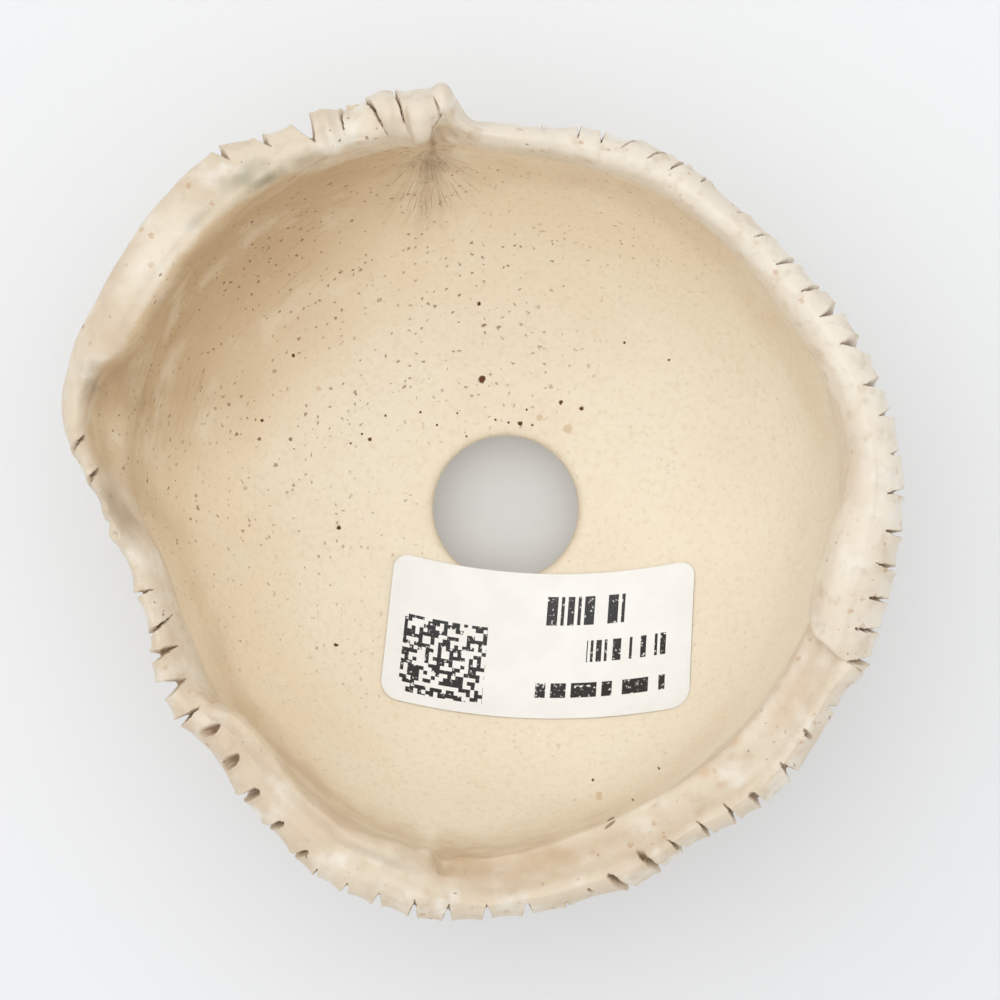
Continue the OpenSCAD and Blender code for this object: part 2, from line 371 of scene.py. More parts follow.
CRACKS = [
    (341.3, 39.5, 0.4, 1.0, 0.2, 0, -0.4, 0), (346.5, 39.8, 0.45, 1.0, 0, 0.1, -0.5, 0),
    (351.5, 40.4, 0.6, 1.1, -0.15, 0.1, -0.5, 0), (356.3, 40.8, 0.7, 1.1, -0.15, 0.1, -0.5, 0),
    (1.6, 41.2, 0.75, 1.0, 0, 0.1, -0.6, 0), (7.0, 41.8, 0.6, 0.6, 0, 0, -0.5, 0),
    (12.6, 41.3, 0.9, 0.7, 0, 0.1, -0.6, 0), (17.4, 40.5, 1.4, 0.9, -0.2, 0.4, -0.75, 0),
    (24.3, 39.8, 2.1, 1.1, -0.43, 0.5, -0.8, 0), (29.2, 39.1, 1.3, 1.0, -0.1, 0.2, -0.7, 0),
    (34.0, 38.8, 0.8, 0.9, -0.43, 0.2, -0.6, 0), (39.5, 38.3, 0.95, 0.9, -0.52, 0.2, -0.7, 0),
    (44.9, 38.7, 0.45, 0.8, -0.7, 0, -0.5, 0), (49.5, 39.3, 0.3, 0.5, -0.9, 0, -0.4, 0),
    (56.2, 39.6, 0.5, 0.6, -0.4, 0, 0.3, 0), (61.1, 38.9, 0.65, 0.8, -0.6, 0.1, 0.5, 0),
    (64.9, 38.8, 0.45, 0.7, -0.8, 0, 0.5, 0),
    (69.0, 38.9, 0.5, 0.8, -0.8, 0.1, 0.5, 0), (71.9, 38.4, 0.5, 0.8, 0.1, 0, 0, 0),
    (75.5, 38.6, 0.4, 0.8, 0.1, 0.1, 0, 0), (81.3, 38.9, 0.35, 0.5, 0.2, 0.2, 0, 0),
    (97.6, 38.4, 0.2, 0.4, -0.9, 0, 0, 1.8), (96.2, 39.8, 0.26, 0.9, 0.3, 0, 0.3, 2.4),
    (101.5, 38.2, 0.3, 0.9, 0.1, 1.5, 0.2, 0), (104.5, 39.0, 0.4, 1.2, 0.3, 0.3, 0.4, 0),
    (110.7, 39.7, 0.45, 1.1, -0.2, 0.1, -0.6, 0), (115.0, 40.5, 2.0, 1.2, 0.1, 2.3, 0, 0),
    (120.7, 42.3, 0.9, 0.7, 0.3, 0.9, 0.3, 0), (126.3, 43.4, 0.9, 0.5, 0.3, 0.9, 0, 0),
    (170.2, 41.3, 0.42, 0.55, 0.9, 0.1, 0.7, -0.4), (174.6, 39.5, 0.45, 0.6, 0.9, 0.1, 0.7, -0.4),
    (183.0, 38.4, 0.5, 0.8, 0, 0.7, 0, 0), (189.5, 37.3, 0.4, 0.5, 0.5, 0.3, 0, 0),
    (194.4, 34.8, 0.6, 0.9, 0.1, 0.2, 0.4, 0), (199.4, 33.7, 0.4, 1.1, 0.4, 0.3, 0.3, 0),
    (204.8, 34.4, 1.0, 1.2, 0, 0.6, 0.4, 0), (210.5, 35.2, 1.9, 1.2, -0.1, 1.9, -0.2, 0),
    (215.6, 35.3, 0.8, 1.3, 0, 1.3, 0.2, 0), (219.8, 35.1, 1.15, 1.2, -0.2, 0, 0.5, 2.5),
    (225.7, 35.8, 1.25, 1.2, -0.1, 0, 0.5, 2.9), (231.9, 37.2, 0.95, 1.2, -0.5, 1.1, 0.3, -0.4),
    (237.9, 38.4, 0.7, 1.0, -0.7, 0.6, 0.3, -0.4), (243.2, 39.8, 0.55, 0.8, -0.7, 0.5, 0.3, -0.4),
    (245.6, 40.9, 0.4, 0.5, 0, 0.4, 0, 0), (250.3, 41.2, 0.7, 0.8, 0, 0.6, 0.3, 0),
    (255.0, 41.1, 0.9, 0.9, 0, 1.0, 0.4, 0), (260.2, 41.0, 0.9, 0.9, 0, 1.2, 0.4, 0),
    (265.0, 41.0, 0.9, 0.9, 0, 1.1, 0.4, 0), (270.5, 40.9, 1.0, 0.9, 0, 1.1, 0.4, 0),
    (276.2, 41.0, 1.0, 0.9, 0, 1.2, 0.4, 0), (281.8, 41.8, 0.3, 0.4, 0, 0.2, 0, 0),
    (285.2, 40.8, 0.4, 0.6, 0.4, 0, 0.3, 1.1), (288.6, 39.9, 0.85, 1.1, 0.7, 0.1, 0.2, -0.6),
    (293.8, 38.8, 0.75, 1.1, 0.5, 0.1, 0.2, -0.8), (298.6, 39.0, 0.6, 1.0, 0.45, 0.1, 0, 0),
    (303.8, 38.9, 0.6, 1.0, 0.25, 0.1, 0, 0), (308.7, 39.1, 0.6, 1.0, 0.05, 0.1, 0, 0),
    (312.7, 40.2, 0.8, 0.9, 0.1, 0.3, 0, -0.4), (318.8, 40.1, 1.1, 1.1, 0, 0.9, 0.3, 0),
    (324.8, 40.0, 0.55, 1.2, -0.2, 0, 0, 1.9), (329.7, 41.0, 0.6, 0.7, 0, 0.5, 0, 0),
    (336.5, 40.3, 0.8, 1.2, 0.5, 1.8, 0, 0),
]
TAIL = 4.0           # mm that a crack runs down the outer face


def wander(t, seed):
    """A jagged line: mm to the side at each t mm along it."""
    steps = np.random.default_rng(seed).uniform(-1, 1, 64)
    at = np.clip(t / 0.35 + 20, 0, 62.9)
    i = np.floor(at).astype(int)
    return steps[i] + (steps[i + 1] - steps[i]) * (at - i)


def crack(points, out, angles, number, row, torn):
    """Cuts one crack into a grid whose rows have these angles and adds to its mask of torn clay and painted
    shade.
    """
    angle, tip, width, depth, slant, cut, lean, length = row
    middle_row = int(np.argmin(abs(apart(angles, angle))))
    near = np.nonzero(abs(apart(angles, angle)) < 9)[0]
    if not len(near) or abs(apart(angles[middle_row], angle)) > 6:
        return
    p, n = points[near], out[near]
    r = np.hypot(p[..., 0], p[..., 1])

    # Along it: t is 0 at its tip and t_edge at the rim's outer edge
    line = points[middle_row]
    line_r = np.hypot(line[:, 0], line[:, 1])
    edge = int(np.argmax(line_r))
    run = np.pad(np.cumsum(np.linalg.norm(np.diff(line, axis=0), axis=1)), (1, 0))
    start = edge
    while start and line_r[start] > tip:
        start -= 1
    if start == edge:
        return
    t = (run - run[start])[None]
    t_edge = t[0, edge]
    pit = length > 0
    whole = length if pit else t_edge
    t_end = length if pit else t_edge + TAIL

    # Across it: how far it opens, sinks and lifts its lips, and how one side stands lower
    straight = np.clip(t, 0, t_edge)
    across = np.radians(apart(polar(p), angle + slant * straight)) * r
    across = across + 0.06 * wander(t, number)
    if pit:
        open_up, close = np.sin(np.pi * np.clip(t / length, 0, 1)) ** 0.6, np.ones_like(t)
    else:
        open_up, close = ease(t, 0, -length or 0.75 * t_edge) ** 0.7, 1 - ease(t, t_edge + 0.4, t_end)
    half = np.maximum(width / 2 * open_up * (0.35 + 0.65 * close), 0.02)
    u = across / half
    side = np.where(u < lean, (u + 1) / (lean + 1), (1 - u) / (1 - lean))
    floor = 1 - (1 - np.clip(side, 0, 1)) ** 2.2
    sink = depth * floor * open_up ** 0.5 * close * (t > 0) * (t < t_end)
    lip = bump(abs(across) - half - 0.16, 0.16) * open_up * close * (t > -0.3) * (t < t_end)
    step = -0.10 * np.sign(across) * np.exp(-abs(across) / 1.1) * (abs(u) > 1) * ease(t, 0, 1.5) * close
    flare = 0.10 * np.exp(-((abs(across) - half) / 0.7) ** 2) * (abs(u) > 1) * ease(r, tip, line_r[edge])
    outward = np.stack([p[..., 0] / r, p[..., 1] / r, np.zeros_like(r)], -1)
    p = p + n * (0.10 * lip + (0 if pit else step) - sink)[..., None]
    p = p + outward * ((0 if pit else flare) * close)[..., None]

    # The outer edge, where it cuts right through, and the crack's darkening: torn clay and painted shade in
    # it
    if cut:
        r = np.hypot(p[..., 0], p[..., 1])
        limit = line_r[edge] - cut * (1 - (abs(across) / (width / 2)) ** 2.2)
        limit = limit + 3 * ease(p[..., 2], seam_z + 0.5, seam_z - 6)
        scale = np.where((abs(across) < width / 2) & (r > limit), limit / r, 1)
        p[..., :2] *= scale[..., None]
    points[near] = p
    dark = ease(floor, 0.1, 0.8) * (sink > 0.05) * ease(sink, 0, 0.4)
    torn[near] = np.maximum(torn[near], dark * (0.35 + 0.65 * ease(t, whole * 1.1, whole * 0.4)))


# Relief of hand-worked clay ------------------------------------------------------------------

def at_polar(angle, radius):
    return np.array([radius * math.cos(math.radians(angle)), radius * math.sin(math.radians(angle))])


# Lumps and hollows: angle, radius, mm round the pot, mm across the rim, height in mm, and the
# heights over the seam between which they lie
LUMPS = [
    (162.6, 40.2, 2.0, 1.6, -1.5, 0, 20), (167.0, 40.2, 2.6, 1.4, -1.2, 0, 20),
    (123, 39.2, 4.5, 0.9, 0.9, 2, 20), (134, 39.7, 4.5, 0.9, 1.1, 2, 20), (145, 39.8, 4.5, 0.9, 1.1, 2, 20),
    (154, 39.8, 3.0, 0.9, 1.1, 2, 20),
    (112.4, 41.0, 0.8, 1.8, 1.1, 0, 20), (108.8, 43.0, 1.7, 1.0, -1.0, 0, 20),
    (190.0, 37.5, 3.2, 1.3, -0.9, 0, 20), (109.2, 39.2, 0.9, 0.6, -0.5, 0, 20),
    (184.8, 37.8, 0.8, 0.7, 0.45, 0, 20), (184.8, 37.8, 0.3, 0.25, -0.7, 0, 20),
    (183.1, 38.7, 0.25, 0.25, -0.6, 0, 20), (180.7, 38.5, 0.8, 0.5, 0.4, 0, 20),
    (98.2, 37.2, 1.1, 2.0, -1.8, -1, 6), (100.1, 38.2, 1.3, 1.2, 1.1, 5, 20),
    (99.3, 41.7, 0.9, 0.35, -0.35, 0, 20), (99.3, 40.2, 1.5, 1.5, 0.6, 5, 20),
    (95.6, 42.0, 0.9, 0.9, 0.5, 5, 20), (94.6, 40.6, 0.7, 0.8, 0.4, 5, 20),
    (103.6, 40.6, 0.7, 1.6, 0.4, 5, 20),
    (260.6, 37.2, 1.3, 0.7, 0.9, 0, 20), (256.5, 36.8, 2.4, 0.7, 0.7, 0, 20),
    (251.0, 36.6, 3.0, 0.7, 0.5, 0, 20), (263.8, 37.0, 1.0, 1.2, -1.2, 0, 20),
    (270, 36.6, 3.0, 1.2, -0.5, 0, 20), (278, 36.4, 3.5, 1.2, -0.3, 0, 20),
    (217.6, 35.0, 0.8, 0.9, 0.4, 0, 20), (223.3, 36.0, 0.6, 0.9, 0.3, 0, 20),
    (352, 36.5, 3.5, 0.8, 0.35, 0, 20), (8, 38.0, 2.0, 1.2, -0.3, 0, 20),
    (92, 39.5, 1.0, 1.2, -0.4, 0, 20),
    (305, 37.0, 6.0, 1.2, -0.3, 0, 20),
]


def relief(points, out):
    """Hand-worked unevenness, strongest on the rim."""
    rim = ease(points[..., 2], seam_z - 2, seam_z + 4)
    outer = ease((out[..., :2] * points[..., :2]).sum(-1), 0, 8)
    high = (0.16 + 0.08 * rim + 0.12 * outer) * noise(points, 9.0, 1)
    high += (0.05 + 0.11 * rim + 0.05 * outer) * noise(points, 3.1, 2)
    high += (0.012 + 0.04 * rim) * noise(points, 1.1, 3)
    for angle, radius, round_pot, over_rim, height, low, top in LUMPS:
        d = points[..., :2] - at_polar(angle, radius)
        c, s = math.cos(math.radians(angle)), math.sin(math.radians(angle))
        along, across = d[..., 1] * c - d[..., 0] * s, d[..., 0] * c + d[..., 1] * s
        reach = np.exp(-(along / round_pot) ** 2 - (across / over_rim) ** 2)
        over = points[..., 2] - seam_z
        high += height * reach * ease(over, low - 3, low) * ease(over, top + 2, top) * (out[..., 2] > -0.3)
    return high


def uneven(points, out):
    """The points with their relief. Near the base slab's edge it is straight up or down, so that
    the slab and the wall stay together."""
    from_hole = np.hypot(points[..., 0] - hole[0], points[..., 1] - hole[1])
    flat = ease(from_hole, 27, 21)[..., None]
    up = np.where(points[..., 2:] > slab_mid, 1.0, -1.0) * np.array([0.0, 0.0, 1.0])
    way = out + (up - out) * flat
    return points + way * relief(points, way)[..., None]


KNOT = at_polar(99, 37.6)
CREASES = [(218, 10, 0.10), (235, 11, 0.12), (250, 9, 0.14), (262, 12, 0.20), (270, 10, 0.25),
           (281, 11, 0.14), (296, 9, 0.10)]


def creases(points):
    """Depth in mm of the folds that run down the inside of the bowl from the knot."""
    d = points[..., :2] - KNOT
    far = np.hypot(d[..., 0], d[..., 1])
    depth = np.zeros(far.shape)
    for number, (heading, length, deep) in enumerate(CREASES):
        turn = apart(np.degrees(np.arctan2(d[..., 1], d[..., 0])) % 360, heading)
        side = np.radians(turn) * far + 0.25 * wander(far / 3, 200 + number)
        along = ease(far, 0.4, 1.5) * ease(far, length, length * 0.4)
        depth += deep * bump(side, 0.22 + 0.02 * far) * along
    inside = ease(np.hypot(points[..., 0], points[..., 1]), 38.6, 37.6)
    return depth * inside * (abs(d[..., 1]) < 20)


# Meshes --------------------------------------------------------------------------------------

def build(name, points, quads, material, layers=()):
    """One piece: its mesh, vertex layers and material, in place of the CAD node of that name."""
    mesh = bpy.data.meshes.new(name)
    mesh.vertices.add(len(points))
    mesh.vertices.foreach_set("co", (points * MM).astype(np.float32).ravel())
    mesh.loops.add(quads.size)
    mesh.loops.foreach_set("vertex_index", quads.astype(np.int32).ravel())
    mesh.polygons.add(len(quads))
    mesh.polygons.foreach_set("loop_start", np.arange(0, quads.size, 4, dtype=np.int32))
    mesh.polygons.foreach_set("use_smooth", np.ones(len(quads), bool))
    mesh.update(calc_edges=True)
    mesh.validate()
    for key, values in dict(layers).items():
        layer = mesh.attributes.new(key, "FLOAT", "POINT")
        layer.data.foreach_set("value", values.astype(np.float32).ravel())
    mesh.set_sharp_from_angle(angle=math.radians(SHARP))
    piece = bpy.data.objects.new(name, mesh)
    bpy.context.scene.collection.objects.link(piece)
    mesh.materials.append(material)
    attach(piece, "root")
    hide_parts(name)
    return piece


def loft_quads(rows, count, wrap):
    """Faces of closed rings of count points, joined in order, wrapped round or with ends."""
    i = np.arange(rows if wrap else rows - 1)[:, None]
    j = np.arange(count)[None]
    next_i, next_j = (i + 1) % rows, (j + 1) % count
    faces = np.stack([i * count + j, i * count + next_j, next_i * count + next_j, next_i * count + j], -1)
    faces = faces.reshape(-1, 4)
    if wrap:
        return faces
    j = np.arange(count // 2 - 1)
    cap = np.stack([j, j + 1, count - 2 - j, count - 1 - j], -1)
    return np.concatenate([faces, cap[:, ::-1], cap + (rows - 1) * count])


# Materials -----------------------------------------------------------------------------------

class Shader:
    """A node material, and short calls for the nodes that the materials here use."""

    def __init__(self, name):
        self.material = bpy.data.materials.new(name)
        self.material.use_nodes = True
        self.tree = self.material.node_tree
        self.tree.nodes.clear()
        self.place = self.add("ShaderNodeTexCoord").outputs["Object"]
        self.flat = self.vector("MULTIPLY", self.place, (1.0, 1.0, 0.0))
        self.high = self.vector("DOT_PRODUCT", self.place, (0.0, 0.0, 1.0), "Value")
        self.rag = self.noise(2200, 2)
        warp = self.add("ShaderNodeTexNoise", {"Vector": self.place, "Scale": 2600.0}).outputs["Color"]
        shift = self.vector("SUBTRACT", warp, (0.5, 0.5, 0.5))
        shift = self.vector("MULTIPLY", shift, (7e-4, 7e-4, 7e-4))
        self.ragged = self.vector("ADD", self.place, shift)

    def add(self, kind, inputs=(), **settings):
        node = self.tree.nodes.new(kind)
        for key, value in settings.items():
            setattr(node, key, value)
        for key, value in dict(inputs).items():
            if isinstance(value, bpy.types.NodeSocket):
                self.tree.links.new(value, node.inputs[key])
            else:
                node.inputs[key].default_value = value
        return node

    def math(self, operation, a, b=0.0):
        return self.add("ShaderNodeMath", {0: a, 1: b}, operation=operation).outputs[0]

    def times(self, a, b):
        return self.math("MULTIPLY", a, b)

    def vector(self, operation, a, b, out="Vector"):
        return self.add("ShaderNodeVectorMath", {0: a, 1: b}, operation=operation).outputs[out]

    def noise(self, scale, detail=2.0, roughness=0.5, place=None):
        inputs = {"Vector": place or self.place, "Scale": scale, "Detail": detail, "Roughness": roughness}
        return self.add("ShaderNodeTexNoise", inputs).outputs[0]

    def ramp(self, value, lo, hi, low=0.0, high=1.0):
        inputs = {"Value": value, "From Min": lo, "From Max": hi, "To Min": low, "To Max": high}
        return self.add("ShaderNodeMapRange", inputs, interpolation_type="SMOOTHSTEP").outputs["Result"]

    def mix(self, a, b, share):
        inputs = {0: share, 6: a, 7: b}
        return self.add("ShaderNodeMix", inputs, data_type="RGBA").outputs[2]

    def layer(self, name):
        return self.add("ShaderNodeAttribute", attribute_name=name).outputs["Fac"]

    def specks(self, scale, radius, share):
        """A mask of round specks: Voronoi cells' centres, in a share of the cells."""
        node = self.add("ShaderNodeTexVoronoi", {"Vector": self.ragged, "Scale": scale})
        size = self.add("ShaderNodeSeparateColor", {0: node.outputs["Color"]})
        grown = self.ramp(size.outputs[0], 1 - share, 1, 0.0, radius)
        edge = self.math("SUBTRACT", grown, node.outputs["Distance"])
        return self.ramp(edge, 0.0, radius * 0.3)

    def reach(self, x, y, long, heading):
        """Distance from a place in mm, seen from above, shorter along a heading."""
        off = self.vector("SUBTRACT", self.flat, (x * MM, y * MM, 0.0))
        c, d = math.cos(math.radians(heading)), math.sin(math.radians(heading))
        along = self.vector("DOT_PRODUCT", off, (c / long, d / long, 0.0), "Value")
        across = self.vector("DOT_PRODUCT", off, (-d, c, 0.0), "Value")
        both = self.add("ShaderNodeCombineXYZ", {0: along, 1: across}).outputs[0]
        return self.vector("LENGTH", both, (0.0, 0.0, 0.0), "Value")

    def spot(self, x, y, radius, long=1.0, heading=0.0, rough=0.7):
        """A mask of one ragged spot, in mm, drawn out along a heading."""
        far, r = self.reach(x, y, long, heading), radius * MM
        far = self.math("ADD", far, self.times(self.rag, r * rough * 2))
        return self.ramp(far, r * (1.15 + rough), r * (0.7 + rough))

    def cloud(self, x, y, radius, long=1.0, heading=0.0):
        """A mask of one soft blotch, in mm, drawn out along a heading."""
        far, r = self.reach(x, y, long, heading), radius * MM
        far = self.math("ADD", far, self.times(self.noise(420, 3), r * 1.2))
        return self.ramp(far, r * 1.8, r * 0.5)

    def finish(self, colour, roughness, height, **fixed):
        bump_node = self.add("ShaderNodeBump", {"Height": height, "Distance": 1.0, "Strength": 1.0})
        inputs = {"Base Color": colour, "Roughness": roughness, "Normal": bump_node.outputs[0], **fixed}
        shader = self.add("ShaderNodeBsdfPrincipled", inputs)
        self.add("ShaderNodeOutputMaterial", {"Surface": shader.outputs[0]})
        return self.material


def rgb(r, g, b):
    """A colour given as it looks on screen, from 0 to 255."""
    return tuple(((c / 255 + 0.055) / 1.055) ** 2.4 for c in (r, g, b)) + (1.0,)


# Large single specks in the clay: place in mm from above and radius in mm
DARK_SPECKS = [(-0.3, 13.6, 0.42), (3.9, 8.8, 0.30), (8.3, 11.1, 0.26), (10.6, 10.4, 0.22),
               (2.6, 8.9, 0.16), (5.2, 8.6, 0.16), (1.2, 9.2, 0.14), (-2.0, 7.4, 0.12),
               (-15.9, -2.6, 0.26), (-16.1, -15.3, 0.22), (-0.6, 21.7, 0.24), (-20.6, 16.0, 0.2),
               (-12.5, 7.0, 0.2), (-24.0, 9.0, 0.18), (15.2, 17.5, 0.16), (20.0, 15.6, 0.16),
               (18.5, -28.0, 0.14), (11.6, -29.5, 0.14), (15.6, -31.0, 0.12), (-7.0, 10.0, 0.14),
               (-13.4, 7.6, 0.16), (-10.8, 9.6, 0.14), (-14.6, 6.6, 0.12), (-3.0, 9.9, 0.12),
               (4.6, 10.3, 0.14), (-5.2, 8.6, 0.12)]
OCHRE_SPECKS = [(9.1, 8.2, 0.55), (6.0, 9.4, 0.4), (-18.0, 12.5, 0.3), (12.2, -31.0, 0.4)]


# Painted shade in the hollow under the knot's pad: x, y and radius in mm, how drawn out, along which
# heading, and how strong
KNOT_HOLLOW_SHADE = [(-5.3, 37.5, 0.5, 2.2, 98.0, 0.65), (-5.4, 36.0, 0.9, 2.0, 98.0, 0.35),
               (-4.6, 35.8, 1.6, 1.6, 60.0, 0.25)]


def clay_parts(s):
    """Bare clay: colour, roughness and height, from one shader's nodes."""
    # Warm cream in the bowl, with mottling; warmer and darker up its back left, partly darker clay and
    # partly painted shade
    broad = s.noise(70, 3)
    back_left = s.vector("DOT_PRODUCT", s.place, (-0.75, 0.66, 0.0), "Value")
    from_hole = s.vector("DISTANCE", s.place, (hole[0] * MM, hole[1] * MM, 0.012), "Value")
    colour = s.mix(rgb(245, 237, 218), rgb(243, 232, 212), s.ramp(broad, 0.35, 0.65))
    upper = s.ramp(s.math("ADD", from_hole, s.times(broad, 0.006)), 0.020, 0.040)
    upper = s.times(upper, s.ramp(back_left, -0.03, 0.02))
    colour = s.mix(colour, rgb(244, 227, 199), upper)
    # deep: painted shade on the back left wall, which faces away from the light, with some darker clay
    deep = s.ramp(s.math("ADD", back_left, s.times(broad, 0.008)), 0.024, 0.042)
    colour = s.mix(colour, rgb(205, 178, 141), deep)
    colour = s.mix(colour, rgb(243, 236, 219), s.ramp(s.noise(160, 3), 0.5, 0.75, 0.0, 0.5))
    fine = s.noise(1500, 5, 0.65)
    colour = s.mix(colour, rgb(222, 203, 172), s.ramp(fine, 0.45, 0.8, 0.0, 0.45))

    # Wiped streaks up the back left, and specks that are denser there
    dense = s.ramp(back_left, -0.012, 0.024, 0.25, 1.0)
    patchy = s.times(dense, s.ramp(s.noise(90, 2), 0.3, 0.65, 0.3, 1.0))
    bowl = s.vector("SUBTRACT", s.place, (hole[0] * MM, hole[1] * MM, 0.0))
    bowl = s.add("ShaderNodeSeparateXYZ", {0: bowl})
    around = s.math("ARCTAN2", bowl.outputs[1], bowl.outputs[0])
    wiped = s.add("ShaderNodeCombineXYZ", {0: s.times(around, 7.0), 1: s.times(from_hole, 2200.0)})
    streaks = s.ramp(s.noise(1.0, 3, 0.6, wiped.outputs[0]), 0.5, 0.75)
    streaks = s.times(streaks, s.times(deep, s.ramp(s.noise(150, 2), 0.4, 0.6)))
    colour = s.mix(colour, rgb(168, 136, 98), s.times(streaks, 0.5))
    small = s.times(s.specks(1500, 0.28, 0.6), patchy)
    large = s.times(s.specks(620, 0.18, 0.22), patchy)
    colour = s.mix(colour, rgb(148, 102, 58), s.times(small, 0.8))
    colour = s.mix(colour, rgb(118, 70, 34), s.times(large, 0.9))

    # Single marks: painted shade in the hollow under the knot and in the dent, a gash in the rim, and large
    # specks
    for *place, share in KNOT_HOLLOW_SHADE:
        colour = s.mix(colour, rgb(124, 90, 56), s.times(s.cloud(*place), share))
    # Painted shade in the dent at the left of the rim
    dent_shade = s.times(s.cloud(-37.4, 12.2, 3.4, 1.6, 100.0), 0.6)
    colour = s.mix(colour, rgb(176, 146, 110), dent_shade)
    gash = s.times(s.spot(13.0, -33.0, 0.17, 4.5, 38.0, 0.15), s.ramp(s.high, 0.038, 0.040))
    colour = s.mix(colour, rgb(88, 58, 34), gash)
    for x, y, radius in OCHRE_SPECKS:
        colour = s.mix(colour, rgb(196, 146, 74), s.times(s.spot(x, y, radius), 0.4))
    for x, y, radius in DARK_SPECKS:
        colour = s.mix(colour, rgb(98, 58, 34), s.spot(x, y, radius))

    # Fine creases that fan out from the knot, sunk in the bump and darkened with painted shade
    from_knot = s.vector("SUBTRACT", s.place, (KNOT[0] * MM, KNOT[1] * MM, 0.0))
    parts = s.add("ShaderNodeSeparateXYZ", {0: from_knot})
    side, down = parts.outputs[0], parts.outputs[1]
    far = s.math("SQRT", s.math("ADD", s.times(side, side), s.times(down, down)))
    heading = s.math("ARCTAN2", side, s.times(down, -1.0))
    fan = s.add("ShaderNodeCombineXYZ", {0: s.times(heading, 19.0), 1: s.times(far, 150.0)})
    lines = s.ramp(s.noise(2.0, 3, 0.6, fan.outputs[0]), 0.56, 0.74)
    lines = s.times(lines, s.ramp(far, 0.010, 0.001))
    colour = s.mix(colour, rgb(146, 108, 68), s.times(lines, 0.5))

    # Height in metres: grain and pits
    grain = s.times(fine, 0.00006)
    grain = s.math("ADD", grain, s.times(s.noise(4200, 2), 0.00002))
    pits = s.times(s.math("MAXIMUM", s.math("MAXIMUM", small, large), lines), -0.00012)
    return colour, s.ramp(fine, 0.3, 0.7, 0.78, 0.92), s.math("ADD", grain, pits)


# Blotches on the glazed rim, and painted shade in the dent at its left: x, y and radius in mm,
# how drawn out, along which heading, the colour, and how strong
RIM_BLOTCHES_AND_SHADE = [
    (-26.0, 31.0, 2.4, 2.6, 42.0, (206, 190, 164), 0.5),
    (-33.5, 25.6, 3.2, 2.2, 52.0, (243, 234, 217), 0.6),
    (-28.4, 31.6, 1.5, 2.0, 45.0, (206, 186, 160), 0.5),
    (-18.6, 35.0, 1.0, 3.0, 18.0, (172, 154, 126), 0.75),
    (31.3, -20.5, 2.0, 2.6, 55.0, (212, 184, 150), 0.5),
    (25.9, -24.3, 0.7, 1.6, 40.0, (208, 166, 120), 0.5),
    (22.8, -27.6, 0.7, 1.4, 60.0, (208, 166, 120), 0.5),
    (24.3, -28.8, 0.5, 1.6, 30.0, (208, 166, 120), 0.45),
    (-21.9, 33.0, 0.9, 2.6, 28.0, (126, 124, 94), 0.8),
    (-24.2, 33.4, 1.4, 2.4, 32.0, (160, 152, 126), 0.75),
    (-29.2, 28.8, 0.9, 2.2, 46.0, (170, 160, 138), 0.4),
    # The last three rows: painted shade in the dent at the rim's left, not blotches of glaze
    (-39.2, 11.8, 2.2, 1.6, 105.0, (128, 108, 86), 0.85),
    (-38.8, 6.5, 1.5, 2.2, 95.0, (180, 158, 132), 0.6),
    (-37.4, -0.6, 1.8, 2.6, 120.0, (176, 158, 134), 0.8),
]


def glaze_parts(s):
    """Thin satin glaze over the same clay."""
    to_right = s.vector("DOT_PRODUCT", s.place, (0.80, 0.55, 0.0), "Value")
    pale = s.ramp(to_right, -0.005, 0.035)
    colour = s.mix(rgb(222, 206, 182), rgb(236, 225, 207), pale)
    blotches = s.ramp(s.noise(110, 3), 0.42, 0.7)
    blotches = s.times(blotches, s.ramp(to_right, -0.005, 0.035, 0.75, 0.3))
    colour = s.mix(colour, rgb(210, 188, 160), blotches)
    colour = s.mix(colour, rgb(238, 230, 216), s.ramp(s.noise(260, 3), 0.48, 0.75, 0.0, 0.8))
    colour = s.mix(colour, rgb(204, 184, 156), s.ramp(s.noise(480, 4, 0.6), 0.48, 0.75, 0.0, 0.6))
    rim_top = s.ramp(s.high, 0.044, 0.046)
    # Blotches of the glaze, and the painted shade in the dent
    for *place, shade, share in RIM_BLOTCHES_AND_SHADE:
        mask = s.times(s.cloud(*place), rim_top)
        colour = s.mix(colour, rgb(*shade), s.times(mask, share))
    clouds = s.ramp(s.noise(120, 2), 0.38, 0.6)
    soft = s.times(s.specks(800, 0.34, 0.5), clouds)
    small = s.times(s.specks(1100, 0.24, 0.22), s.ramp(s.noise(150, 2), 0.4, 0.6, 0.2, 0.8))
    colour = s.mix(colour, rgb(190, 146, 104), s.times(soft, 0.5))
    colour = s.mix(colour, rgb(146, 110, 84), small)
    height = s.times(s.noise(900, 4, 0.6), 0.00008)
    height = s.math("SUBTRACT", height, s.times(small, 0.00008))
    return colour, s.ramp(s.noise(300, 2), 0.35, 0.65, 0.36, 0.52), height


def pot_material(name):
    """Bare clay and glaze, shared out by the layer called glaze, with cracks darkened as torn clay and
    painted shade, and painted shade in the creases and under the rim's lip.
    """
    s = Shader(name)
    clay, clay_rough, clay_high = clay_parts(s)
    glaze, glaze_rough, glaze_high = glaze_parts(s)
    share = s.layer("glaze")
    colour = s.mix(clay, glaze, share)
    # Painted shade on the clay under the rim's inner lip
    lip_shade = s.times(s.layer("lip_shade"), s.ramp(s.noise(200, 2), 0.35, 0.65, 0.6, 1.0))
    colour = s.mix(colour, rgb(200, 172, 136), lip_shade)
    # Cracks: partly the colour of torn clay, partly painted shade in them
    colour = s.mix(colour, rgb(124, 90, 60), s.times(s.layer("torn"), 0.7))
    # Painted shade in the folds that run down the bowl from the knot
    colour = s.mix(colour, rgb(150, 122, 90), s.times(s.layer("crease_shade"), 0.3))

    def blend(a, b):
        inputs = {0: share, 2: a, 3: b}
        return s.add("ShaderNodeMix", inputs, data_type="FLOAT").outputs[0]
    return s.finish(colour, blend(clay_rough, glaze_rough), blend(clay_high, glaze_high))


pot = pot_material("clay_and_glaze")
